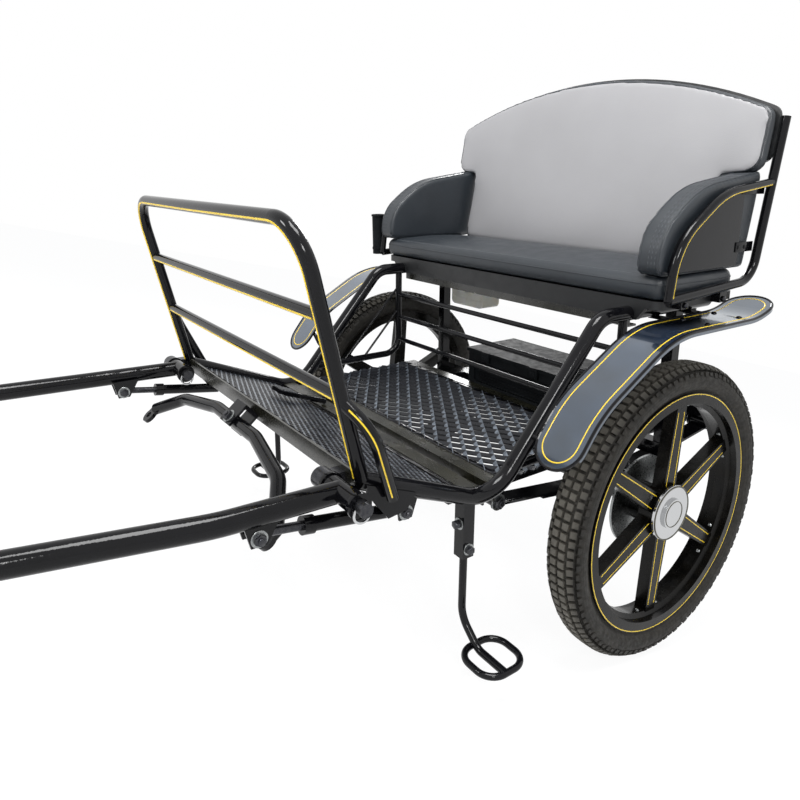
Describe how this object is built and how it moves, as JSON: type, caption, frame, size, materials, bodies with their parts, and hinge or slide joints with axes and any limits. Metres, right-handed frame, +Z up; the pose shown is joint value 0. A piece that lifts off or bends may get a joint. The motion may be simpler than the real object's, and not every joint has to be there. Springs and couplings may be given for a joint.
{
  "type": "two-wheeled pony gig",
  "caption": "Two-wheeled pony gig: bench seat, mesh floor, raked dash, S-curved mudguards, steps and a pair of adjustable shafts with a swingletree.",
  "frame": {"origin": "centre of the bounding box, on the ground: the wheels and the shaft tips stand on z = 0", "axes": "+Z up; -Y forward, towards the shaft tips; +X the driver's left, along the axle"},
  "size_m": [1.03, 2.6392, 1.2201],
  "materials": {
    "frame_paint": "gloss",
    "wheel_paint": "gloss",
    "mesh_paint": "satin",
    "zinc_steel": "satin",
    "chrome": "polished",
    "tyre_rubber": "matte",
    "black_upholstery": "satin",
    "grey_upholstery": "satin",
    "board": "painted",
    "black_plastic": "matte",
    "clear_plastic": "translucent"
  },
  "bodies": {
    "cart": {"arm_pad_left": "black_upholstery", "arm_pad_right": "black_upholstery", "arm_panels": "frame_paint", "axle": "frame_paint", "back_board": "board", "brake_calipers": "frame_paint", "brake_pedal": "frame_paint", "chassis_rails": "frame_paint", "crossbars": "frame_paint", "dash_braces": "frame_paint", "dash_hoop": "frame_paint", "dash_rails": "frame_paint", "floor_mesh": "mesh_paint", "fluid_tank": "clear_plastic", "footboard_mesh": "mesh_paint", "frame_side_left": "frame_paint", "frame_side_right": "frame_paint", "guard_rails": "frame_paint", "leaf_springs": "frame_paint", "lynch_pins": "chrome", "mudguard_left": "frame_paint", "mudguard_right": "frame_paint", "mudguard_stays": "frame_paint", "outriggers": "frame_paint", "seat_back": "grey_upholstery", "seat_cushion": "black_upholstery", "seat_pan": "board", "seat_posts": "frame_paint", "seat_rails": "frame_paint", "side_guards": "frame_paint", "spindles": "zinc_steel", "spring_hangers": "frame_paint", "step_sockets": "frame_paint", "steps": "frame_paint", "strut_brackets": "frame_paint", "swingletree_bracket": "frame_paint", "tool_box": "black_plastic", "whip_socket": "black_plastic"},
    "wheel_left": {"tyre_left": "tyre_rubber", "rim_left": "wheel_paint", "hub_left": "wheel_paint", "hub_cap_left": "chrome", "brake_disc_left": "zinc_steel"},
    "shaft_left_body": {"shaft_left": "frame_paint"},
    "strut_tube_left_body": {"strut_tube_left": "frame_paint"},
    "strut_rod_left_body": {"strut_rod_left": "zinc_steel"},
    "wheel_right": {"tyre_right": "tyre_rubber", "rim_right": "wheel_paint", "hub_right": "wheel_paint", "hub_cap_right": "chrome", "brake_disc_right": "zinc_steel"},
    "shaft_right_body": {"shaft_right": "frame_paint"},
    "strut_tube_right_body": {"strut_tube_right": "frame_paint"},
    "strut_rod_right_body": {"strut_rod_right": "zinc_steel"},
    "swingletree_body": {"swingletree": "frame_paint"}
  },
  "joints": [
    {"name": "wheel_left_spin", "type": "hinge", "parent": "cart", "child": "wheel_left", "pos_m": [0.466, 0.98037, 0.3025], "axis": [1, 0, 0], "continuous": true},
    {"name": "wheel_right_spin", "type": "hinge", "parent": "cart", "child": "wheel_right", "pos_m": [-0.466, 0.98037, 0.3025], "axis": [1, 0, 0], "continuous": true},
    {"name": "shaft_left_pitch", "type": "hinge", "parent": "cart", "child": "shaft_left_body", "pos_m": [0.38, 0.26992, 0.34409], "axis": [-1, 0, 0], "range_deg": [-6, 8]},
    {"name": "strut_left_turn", "type": "hinge", "parent": "cart", "child": "strut_tube_left_body", "pos_m": [0.372, 0.39563, 0.30472], "axis": [-1, 0, 0], "range_deg": [-3.53, 4.54]},
    {"name": "strut_left_slide", "type": "slide", "parent": "strut_tube_left_body", "child": "strut_rod_left_body", "axis": [0, -0.9975, -0.0713], "range_m": [-0.00605, 0.00774]},
    {"name": "shaft_right_pitch", "type": "hinge", "parent": "cart", "child": "shaft_right_body", "pos_m": [-0.38, 0.26992, 0.34409], "axis": [-1, 0, 0], "range_deg": [-6, 8]},
    {"name": "strut_right_turn", "type": "hinge", "parent": "cart", "child": "strut_tube_right_body", "pos_m": [-0.372, 0.39563, 0.30472], "axis": [-1, 0, 0], "range_deg": [-3.53, 4.54]},
    {"name": "strut_right_slide", "type": "slide", "parent": "strut_tube_right_body", "child": "strut_rod_right_body", "axis": [0, -0.9975, -0.0713], "range_m": [-0.00605, 0.00774]},
    {"name": "swingletree_swing", "type": "hinge", "parent": "cart", "child": "swingletree_body", "pos_m": [0, 0.26258, 0.33116], "axis": [0, -0.8057, 0.5923], "range_deg": [-10, 10]}
  ],
  "couplings": [
    {"joint": "strut_left_turn", "follows": "shaft_left_pitch", "ratio": 0.50529},
    {"joint": "strut_left_slide", "follows": "shaft_left_pitch", "m_per_rad": 0.048237},
    {"joint": "strut_right_turn", "follows": "shaft_right_pitch", "ratio": 0.50529},
    {"joint": "strut_right_slide", "follows": "shaft_right_pitch", "m_per_rad": 0.048237}
  ]
}
